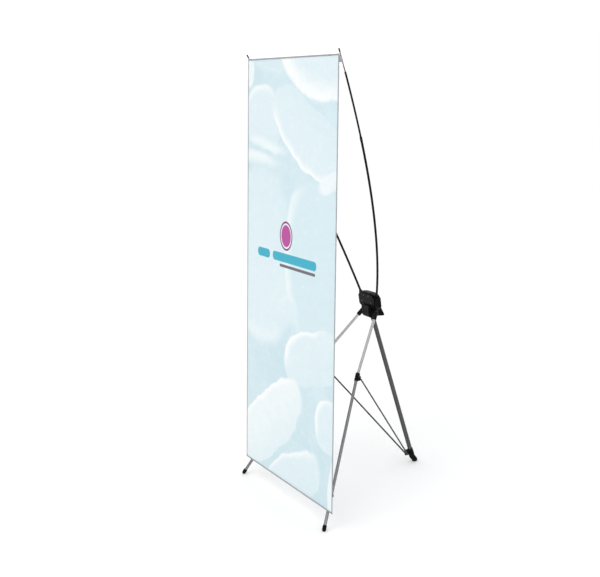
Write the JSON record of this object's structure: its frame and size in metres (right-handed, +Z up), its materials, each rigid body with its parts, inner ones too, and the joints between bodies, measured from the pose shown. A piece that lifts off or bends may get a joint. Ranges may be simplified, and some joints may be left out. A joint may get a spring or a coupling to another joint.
{
  "type": "tripod banner stand",
  "caption": "Free-standing display: a folding tripod frame with sliding collars, braces and bowed poles that holds a flat fabric banner taut by corner pockets and leg loops.",
  "frame": {"origin": "centre of the floor footprint's bounding box, on the floor", "axes": "+Z up, the banner faces -Y, the rear leg points to +Y, X runs across the banner and the stand is symmetric about X = 0"},
  "size_m": [0.8532, 0.6732, 1.8244],
  "materials": {
    "black_plastic": "matte black moulded nylon",
    "black_rubber": "matte",
    "black_fibreglass": "satin black pultruded fibreglass",
    "bright_tube": "bright drawn tube",
    "grey_tube": "satin grey tube",
    "dark_grey_tube": "satin dark grey",
    "dark_steel": "dark grey zinc",
    "banner_fabric": "printed polyester, pale pebble pattern",
    "hem_tape": "grey folded hem",
    "pocket_fabric": "lavender-grey webbing",
    "tip_rod": "bare rod",
    "tip_cap": "dark brown cap"
  },
  "bodies": {
    "hub": {"hub_body": "black_plastic", "hub_cover": "black_plastic", "cover_screw_1": "dark_steel", "cover_screw_2": "dark_steel", "cover_screw_3": "dark_steel", "cover_screw_4": "dark_steel", "rear_pivot_pin": "dark_steel", "front_pivot_pin_right": "dark_steel", "front_pivot_pin_left": "dark_steel"},
    "rear_leg": {"rear_knuckle": "black_plastic", "rear_leg_tube": "dark_grey_tube", "rear_boot": "black_rubber", "brace_bracket": "black_plastic", "brace_pin_right": "dark_steel", "brace_pin_left": "dark_steel"},
    "banner": {"banner_sheet": "banner_fabric", "hem_bottom": "hem_tape", "hem_top": "hem_tape", "hem_left": "hem_tape", "hem_right": "hem_tape", "top_pocket_right": "pocket_fabric", "top_pocket_left": "pocket_fabric", "bottom_loop_right": "pocket_fabric", "bottom_loop_left": "pocket_fabric"},
    "front_leg_right": {"front_knuckle_right": "black_plastic", "front_upper_tube_right": "bright_tube", "leg_joint_right": "black_plastic", "front_lower_tube_right": "grey_tube", "front_foot_cap_right": "black_rubber", "leg_clip_right": "black_plastic"},
    "collar_right": {"collar_right": "black_plastic"},
    "brace_right": {"brace_right": "dark_steel", "brace_rivet_right": "dark_steel"},
    "pole_right": {"pole_base_right": "dark_steel", "pole_lower_right": "black_fibreglass", "pole_joint_right": "black_fibreglass", "pole_upper_right": "black_fibreglass", "tip_rod_right": "tip_rod", "tip_cap_right": "tip_cap"},
    "front_leg_left": {"front_knuckle_left": "black_plastic", "front_upper_tube_left": "bright_tube", "leg_joint_left": "black_plastic", "front_lower_tube_left": "grey_tube", "front_foot_cap_left": "black_rubber", "leg_clip_left": "black_plastic"},
    "collar_left": {"collar_left": "black_plastic"},
    "brace_left": {"brace_left": "dark_steel", "brace_rivet_left": "dark_steel"},
    "pole_left": {"pole_base_left": "dark_steel", "pole_lower_left": "black_fibreglass", "pole_joint_left": "black_fibreglass", "pole_upper_left": "black_fibreglass", "tip_rod_left": "tip_rod", "tip_cap_left": "tip_cap"}
  },
  "joints": [
    {"name": "rear_leg_fold", "type": "hinge", "parent": "hub", "child": "rear_leg", "pos_m": [0, 0.18352, 0.735], "axis": [-1, 0, 0], "range_deg": [0, 10.25]},
    {"name": "front_leg_fold_right", "type": "hinge", "parent": "hub", "child": "front_leg_right", "pos_m": [0.0443, 0.19752, 0.735], "axis": [0.8309, 0.5564, 0], "range_deg": [0, 41]},
    {"name": "collar_slide_right", "type": "slide", "parent": "front_leg_right", "child": "collar_right", "axis": [-0.3838, 0.5952, 0.706], "range_m": [0, 0.1879]},
    {"name": "brace_swing_right", "type": "hinge", "parent": "rear_leg", "child": "brace_right", "pos_m": [0.0105, 0.28612, 0.0435], "axis": [-0.8615, -0.5072, 0.0226], "range_deg": [0, 28.51]},
    {"name": "pole_pull_right", "type": "slide", "parent": "hub", "child": "pole_right", "axis": [0.4414, -0.0721, 0.8944], "range_m": [0, 0.034]},
    {"name": "front_leg_fold_left", "type": "hinge", "parent": "hub", "child": "front_leg_left", "pos_m": [-0.0443, 0.19752, 0.735], "axis": [0.8309, -0.5564, 0], "range_deg": [0, 41]},
    {"name": "collar_slide_left", "type": "slide", "parent": "front_leg_left", "child": "collar_left", "axis": [0.3838, 0.5952, 0.706], "range_m": [0, 0.1879]},
    {"name": "brace_swing_left", "type": "hinge", "parent": "rear_leg", "child": "brace_left", "pos_m": [-0.0105, 0.28612, 0.0435], "axis": [-0.8615, 0.5072, -0.0226], "range_deg": [0, 28.51]},
    {"name": "pole_pull_left", "type": "slide", "parent": "hub", "child": "pole_left", "axis": [-0.4414, -0.0721, 0.8944], "range_m": [0, 0.034]},
    {"name": "banner_off", "type": "slide", "parent": "hub", "child": "banner", "axis": [0, -0.9901, 0.1404], "range_m": [0, 0.12], "deforming": ["top_pocket_right", "top_pocket_left", "bottom_loop_right", "bottom_loop_left"]}
  ],
  "couplings": [
    {"joint": "front_leg_fold_right", "follows": "rear_leg_fold", "ratio": 4},
    {"joint": "collar_slide_right", "follows": "rear_leg_fold", "m_per_rad": 1.0501},
    {"joint": "brace_swing_right", "follows": "rear_leg_fold", "ratio": 2.7811},
    {"joint": "front_leg_fold_left", "follows": "rear_leg_fold", "ratio": 4},
    {"joint": "collar_slide_left", "follows": "rear_leg_fold", "m_per_rad": 1.0501},
    {"joint": "brace_swing_left", "follows": "rear_leg_fold", "ratio": 2.7811}
  ]
}
